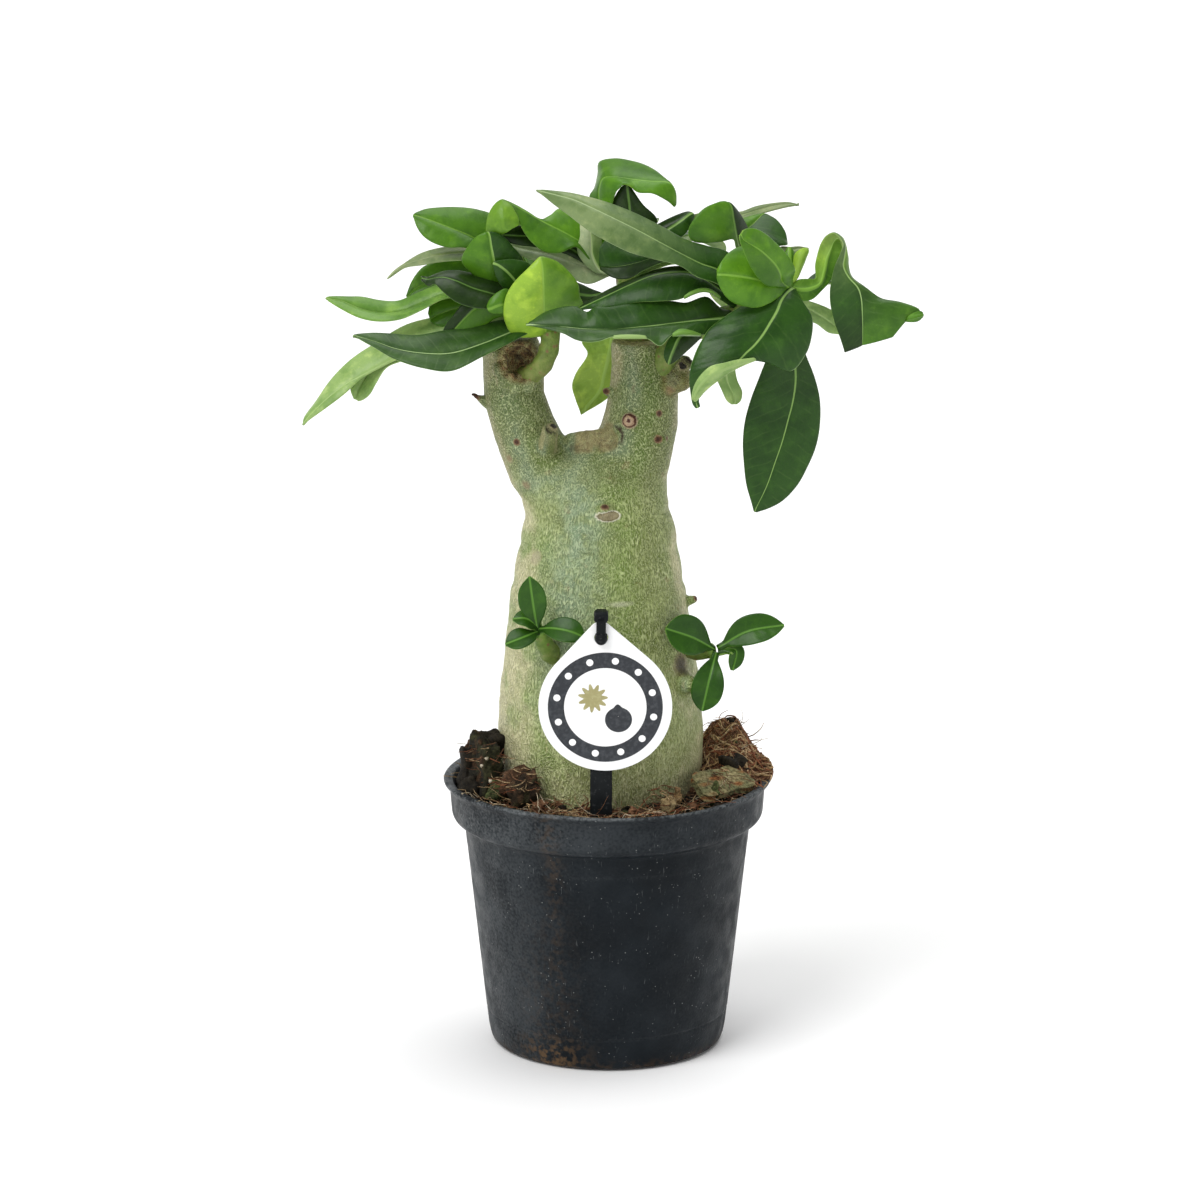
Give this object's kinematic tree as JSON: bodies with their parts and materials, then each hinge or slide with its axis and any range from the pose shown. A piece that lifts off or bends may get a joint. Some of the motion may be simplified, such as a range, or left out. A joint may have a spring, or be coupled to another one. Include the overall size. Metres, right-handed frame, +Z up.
{
  "type": "potted desert rose plant",
  "caption": "Potted desert rose: a swollen trunk forking into cut branches with crowns of long leaves, in a round black pot with a plant label.",
  "frame": {"origin": "centre of the pot's flat underside, where it rests", "axes": "+Z up, -Y the front that shows the label, +X to the viewer's right"},
  "size_m": [0.2178, 0.12, 0.3252],
  "materials": {
    "pot_plastic": "black, dusty",
    "potting_soil": "peat and coir",
    "bark": "grey-green, finely veined",
    "leaf": "leathery, semi-gloss",
    "label_stake": "black",
    "label_tag": "white, satin",
    "peat": "crumbly",
    "chip": "rough"
  },
  "bodies": {
    "root": {"pot": "pot_plastic", "soil": "potting_soil", "trunk": "bark", "left_crown": "leaf", "centre_crown": "leaf", "right_crown": "leaf", "side_shoot_left": "leaf", "side_shoot_right": "leaf", "label_stake": "label_stake", "label_tag": "label_tag", "peat_lump_left": "peat", "peat_lump_front": "peat", "bark_chip": "chip", "bark_crumb": "chip"}
  },
  "joints": []
}
